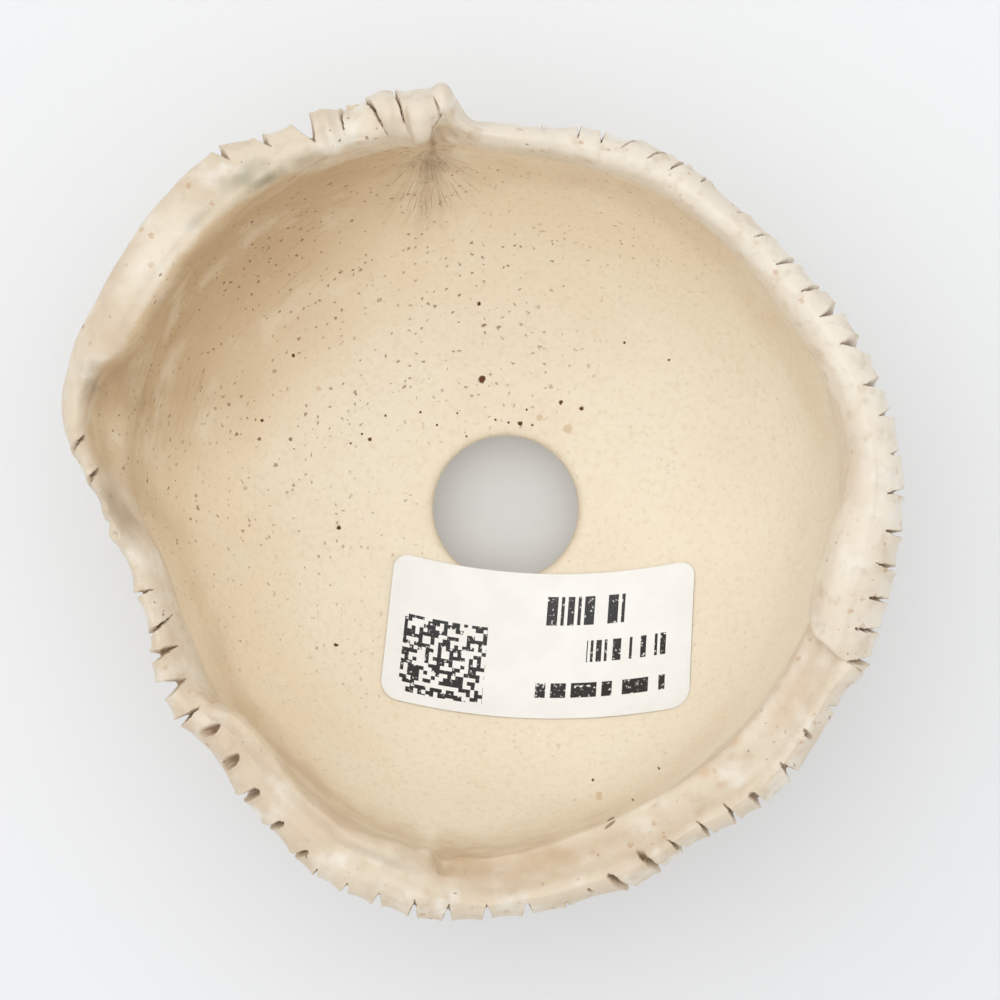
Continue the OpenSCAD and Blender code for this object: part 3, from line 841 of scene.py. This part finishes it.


# Where the glaze begins on the inside: angle, radius, mm over which it thickens, and how strong
# the painted shade is on the clay beside it, under the rim's lip
GLAZE_LINE = [(-60, 35.3, 1.2, 0.2), (-41, 34.5, 1, 0.1), (-17, 34.7, 1, 0.1), (-12, 35.0, 1.6, 0.1),
              (1, 35.6, 2.2, 0.1), (13, 37.2, 2.2, 0.15), (18, 36.6, 1.4, 0.2), (38, 36.0, 1.2, 0.3),
              (56, 36.6, 1, 0.3), (65, 36.6, 1, 0.3), (77, 35.6, 1, 0.25), (93, 35.6, 1, 0.3),
              (96, 37.0, 0.8, 0.4), (101, 36.8, 0.7, 0.3), (113, 38.0, 0.7, 0.4), (122, 39.2, 0.7, 0.5),
              (152, 39.8, 0.7, 0.5), (157, 39.9, 0.8, 0.5), (160, 41.5, 1.2, 0.4), (170, 41.3, 1.6, 0.5),
              (174, 39.2, 1.6, 0.5), (178, 36.5, 1.5, 0.4), (183, 33.9, 1.2, 0.4), (188, 32.8, 1, 0.3),
              (204, 31.8, 1, 0.3), (217, 33.6, 0.8, 0.5), (229, 33.7, 0.8, 0.6), (238, 34.6, 0.8, 0.6),
              (248, 35.7, 0.8, 0.6), (257, 36.1, 0.7, 0.6), (261, 37.3, 0.6, 0.7), (263, 37.3, 2.2, 1.0),
              (284, 37.0, 2.4, 0.9), (300, 35.3, 1.2, 0.2)]


def layers_of(points, torn, crease_shade, inner):
    """The vertex layers of a piece: where the glaze lies, its marks, and its painted shade."""
    angle, radius, soft, dark = np.array(GLAZE_LINE).T
    at = (polar(points) + 60) % 360 - 60
    edge = np.interp(at, angle, radius) + 0.25 * noise(points, 5.0, 8) + 0.2 * noise(points, 1.3, 9)
    soft = np.interp(at, angle, soft) / 2
    off = np.hypot(points[..., 0], points[..., 1]) - edge
    over = ease(points[..., 2], seam_z - 4, seam_z - 1)
    glaze = np.where(inner, ease(off, -soft, soft) * over, 1.0)
    # Painted shade on the clay just inside the glaze's edge, under the rim's lip
    lip_shade = np.where(inner, bump(off + 0.4, 0.7 + soft) * np.interp(at, angle, dark), 0.0)
    return {"glaze": glaze, "torn": torn, "crease_shade": crease_shade, "lip_shade": lip_shade}


for name, strip in strips.items():
    points = uneven(strip.points, strip.out)
    fold = creases(points)
    points -= strip.out * fold[..., None]
    torn = np.zeros(points.shape[:2])
    for number, row in enumerate(CRACKS):
        crack(points, strip.out, strip.angles, number, row, torn)
    r = np.hypot(points[..., 0], points[..., 1])
    inner = np.arange(RIM_POINTS)[None] < r.argmax(1)[:, None]
    build(name, points.reshape(-1, 3), loft_quads(len(points), RIM_POINTS, False), pot,
          layers_of(points, torn, np.clip(fold * 4, 0, 1), inner))

inner_out, outer_out = normals(wall_in, True), normals(wall_out_face, True)
inner_wall = uneven(wall_in, inner_out)
fold = creases(inner_wall)
inner_wall -= inner_out * fold[..., None]
outer_wall = uneven(wall_out_face, outer_out)
whole = np.concatenate([inner_wall, outer_wall], 1)
# The folds' depth, as a mask of painted shade in them
folds = np.concatenate([np.clip(fold * 4, 0, 1), np.zeros(outer_wall.shape[:2])], 1)
is_inner = np.arange(whole.shape[1])[None] < IN_POINTS
build("bowl_wall", whole.reshape(-1, 3), loft_quads(*whole.shape[:2], True), pot,
      layers_of(whole, np.zeros(whole.shape[:2]), folds, is_inner))


# The base slab and feet, revolved from the CAD's own corners, with the wall's relief ----------

distance, height = profile_of(slab_points, hole)
lip_r = slab_r - LIP_END
lip = np.array(sorted({(round(z, 2), round(d, 2)) for d, z in zip(distance, height) if d < lip_r + 0.02}))
lip = np.stack([lip[:, 1], np.zeros(len(lip)), lip[:, 0]], 1)
lip = blur(evenly(lip[None], 40)[0], 1.5)[:, [0, 2]]
top_d = np.linspace(lip_r, slab_r, 60)[1:]
on_top = (distance >= lip_r - 0.01) & (height > slab_mid)
curve = np.polynomial.Polynomial.fit(distance[on_top], height[on_top], 3)
under_d = np.linspace(slab_r, lip[0, 0], 24)[:-1]
rise = curve(top_d) + (height[distance > slab_r - 0.02].max() - curve(slab_r)) * (top_d / slab_r) ** 4
section = np.concatenate([lip, np.stack([top_d, rise], 1),
                          np.stack([under_d, np.full_like(under_d, height.min())], 1)])
turn = np.radians(np.arange(SLAB_TURNS) * 360 / SLAB_TURNS)[:, None]
slab = np.stack([hole[0] + section[:, 0] * np.cos(turn), hole[1] + section[:, 0] * np.sin(turn),
                 section[:, 1] + 0 * turn], -1)
slab_out = normals(slab, True)
slab = uneven(slab, slab_out)
bare = np.zeros(slab.shape[:2])
build("floor_slab", slab.reshape(-1, 3), loft_quads(*slab.shape[:2], True), pot,
      {"glaze": bare, "torn": bare, "crease_shade": bare, "lip_shade": bare})

for name in ("foot_back", "foot_left", "foot_right"):
    points, _ = solid(name)
    centre = middle(name)[:2]
    distance, height = profile_of(points, centre)
    line = np.array(sorted({(round(z, 2), round(d, 2)) for d, z in zip(distance, height) if d > 0.5}))
    toe = line[line[:, 0] < 0.01, 1].max()
    line = line[(line[:, 0] > 0.01) | (line[:, 1] == toe)]
    rim_r, top = line[-1, 1], line[-1, 0] + 0.2
    path = [(0.3, 0.0), (toe * 0.6, 0.0)] + [(d + 0.5 * ease(z, top * 0.6, top), z) for z, d in line]
    path += [(rim_r + 0.5, top), (rim_r * 0.5, top), (0.3, top)]
    path = np.array([(d, 0.0, z) for d, z in path])
    path = blur(evenly(path[None], 90)[0], 1.2)
    around = np.radians(np.arange(144) * 2.5)[None]
    foot = np.stack([centre[0] + path[:, :1] * np.cos(around), centre[1] + path[:, :1] * np.sin(around),
                     path[:, 2:] + 0 * around], -1)
    out = -normals(foot)
    foot = foot + out * (0.35 * noise(foot, 3.5, 21) + 0.12 * noise(foot, 1.5, 22))[..., None] * ease(
        path[:, 2:3], 0.1, 1.0)[..., None]
    foot[..., 2] = np.clip(foot[..., 2], 0, top)
    bare = np.zeros(foot.shape[:2])
    build(name, foot.reshape(-1, 3), loft_quads(*foot.shape[:2], False), pot,
          {"glaze": bare, "torn": bare, "crease_shade": bare, "lip_shade": bare})


# The sticker ---------------------------------------------------------------------------------

points, out = solid("paper_label")
flat = points[:, :2] - points[:, :2].mean(0)
_, _, axes = np.linalg.svd(flat, full_matrices=False)
right = axes[0] * np.sign(axes[0][0])
label_mid = points[:, :2].mean(0)
stations = np.linspace(-12, 12, 13)

# Turn its axes until right follows its middle line, which bends as c0 + c2 x^2
for _ in range(3):
    up = np.array([-right[1], right[0]])
    x, y = (points[:, :2] - label_mid) @ right, (points[:, :2] - label_mid) @ up
    bins = [y[abs(x - at) < 0.7] for at in stations]
    line = np.polynomial.Polynomial.fit(stations, [(b.max() + b.min()) / 2 for b in bins], 2)
    c0, c1, c2 = line.convert().coef
    right = right * math.cos(math.atan(c1)) + up * math.sin(math.atan(c1))
    label_mid = label_mid + right * (x.max() + x.min()) / 2
half_w = (x.max() - x.min()) / 2
half_d = max((b.max() - b.min()) / 2 for b in bins)
tip = abs(x) > half_w - 0.01
corner = half_d - (y[tip].max() - y[tip].min()) / 2
upper = out[:, 2] > 0


def powers(x, y):
    return np.stack([(x / half_w) ** i * (y / half_d) ** j for i in range(5) for j in range(5 - i)], -1)


surface = np.linalg.lstsq(powers(x[upper], y[upper]), points[upper, 2], rcond=None)[0]

COLUMNS, LABEL_ROWS = 150, 70
across = half_w * np.sin(np.pi * (np.linspace(0, 1, COLUMNS) - 0.5))
past = np.maximum(0, abs(across) - (half_w - corner))
reach = half_d - corner + np.sqrt(np.maximum(0, corner ** 2 - past ** 2))
down = reach[:, None] * np.linspace(1, -1, LABEL_ROWS)[None]
gx = np.repeat(across[:, None], LABEL_ROWS, 1)
gy = down + c0 + c2 * gx ** 2
sheared = gx + PAPER_SKEW * down * (1 - 0.4 * gx / half_w)
plan = label_mid + sheared[..., None] * right + gy[..., None] * up
top = powers(sheared, gy) @ surface - PAPER_LIFT
edge = np.minimum(half_w - abs(gx), reach[:, None] - abs(down))
top = top + PAPER_LIFT * ease(edge, 2.5, 0)
paper = np.concatenate([plan, top[..., None]], -1)
paper[..., 2] += relief(paper, np.broadcast_to([0.0, 0.0, 1.0], paper.shape))
below = paper - [0, 0, PAPER_T]
both = np.concatenate([paper, below[:, ::-1]], 1)


# The print, in shares of the sticker's width and height: a patch of cells, then rows of bars.
# Each row: left, right, bottom, top, cells across, share of them inked, and a seed.
BAR_ROWS = [(0.52, 0.78, 0.64, 0.84, 90, 0.55, 5.0), (0.66, 0.92, 0.38, 0.53, 110, 0.5, 6.0),
            (0.50, 0.92, 0.14, 0.24, 60, 0.72, 7.0)]


def label_material():
    s = Shader("printed_paper")
    uv = s.add("ShaderNodeUVMap", uv_map="print").outputs[0]
    parts = s.add("ShaderNodeSeparateXYZ", {0: uv})
    u, v = parts.outputs[0], parts.outputs[1]

    def window(u0, u1, v0, v1):
        inside = s.times(s.math("GREATER_THAN", u, u0), s.math("LESS_THAN", u, u1))
        inside = s.times(inside, s.math("GREATER_THAN", v, v0))
        return s.times(inside, s.math("LESS_THAN", v, v1))

    def cells(across, down, share, seed):
        step = s.vector("SNAP", s.vector("ADD", uv, (seed, seed, 0.0)), (1 / across, 1 / down, 1.0))
        draw = s.add("ShaderNodeTexWhiteNoise", {0: step}, noise_dimensions="3D").outputs["Value"]
        return s.math("LESS_THAN", draw, share)

    ink = s.times(window(0.055, 0.33, 0.07, 0.60), cells(76, 38, 0.52, 3.0))
    for *box, across, share, seed in BAR_ROWS:
        ink = s.math("MAXIMUM", ink, s.times(window(*box), cells(across, 1, share, seed)))
    worn = s.ramp(s.noise(2600, 3), 0.3, 0.42)
    ink = s.times(ink, worn)
    colour = s.mix(rgb(249, 252, 254), rgb(245, 247, 248), s.ramp(s.noise(300, 3), 0.35, 0.7))
    colour = s.mix(colour, rgb(38, 37, 40), ink)
    fibres = s.times(s.noise(2500, 4, 0.6), 0.000012)
    return s.finish(colour, s.ramp(ink, 0.0, 1.0, 0.52, 0.4), fibres)


label = build("paper_label", both.reshape(-1, 3), loft_quads(*both.shape[:2], False),
              label_material())
u = (np.concatenate([gx, gx[:, ::-1]], 1) / half_w + 1) / 2
v = (np.concatenate([down, down[:, ::-1]], 1) / half_d + 1) / 2
corners = np.empty(len(label.data.loops), np.int32)
label.data.loops.foreach_get("vertex_index", corners)
layer = label.data.uv_layers.new(name="print")
uv = np.stack([u.ravel()[corners], v.ravel()[corners]], 1)
layer.data.foreach_set("uv", uv.astype(np.float32).ravel())


# Floor, light and camera ---------------------------------------------------------------------

def stage_floor():
    mesh = bpy.data.meshes.new("studio_floor")
    half = 3
    corners = [(-half, -half, 0), (half, -half, 0), (half, half, 0), (-half, half, 0)]
    mesh.from_pydata(corners, [], [(0, 1, 2, 3)])
    s = Shader("studio_paper")
    colour = s.mix(rgb(237, 238, 239), rgb(235, 236, 238), s.ramp(s.noise(4, 2), 0.3, 0.7))
    roughness = s.ramp(s.noise(40, 2), 0.3, 0.7, 0.8, 0.9)
    mesh.materials.append(s.finish(colour, roughness, s.times(s.noise(600, 2), 0.00002)))
    floor = bpy.data.objects.new("studio_floor", mesh)
    bpy.context.scene.collection.objects.link(floor)


def area_light(name, direction, away, size, watts):
    light = bpy.data.objects.new(name, bpy.data.lights.new(name, "AREA"))
    light.data.size = size
    light.data.energy = watts
    light.location = Vector(direction).normalized() * away
    light.rotation_euler = Vector(direction).to_track_quat("Z", "Y").to_euler()
    bpy.context.scene.collection.objects.link(light)


stage_floor()
area_light("soft_box", (-0.45, 0.45, 1.3), 1.1, 1.4, 3.6)
area_light("top_box", (0.0, 0.0, 1.0), 1.2, 0.8, 2.3)
world = bpy.data.worlds.new("studio")
world.use_nodes = True
sky = world.node_tree.nodes["Background"].inputs
sky["Color"].default_value = (0.97, 0.985, 1.0, 1)
sky["Strength"].default_value = 0.78
scene = bpy.context.scene
scene.world = world
scene.view_settings.view_transform = "Standard"

# Straight above, as in the photograph, and far enough for its slight perspective
camera = bpy.data.objects.new("camera", bpy.data.cameras.new("camera"))
scene.collection.objects.link(camera)
camera.location = (1.68 * MM, 0.41 * MM, 0.600)
camera.data.sensor_width = 36
camera.data.lens = 194
camera.data.clip_start = 0.01
scene.camera = camera
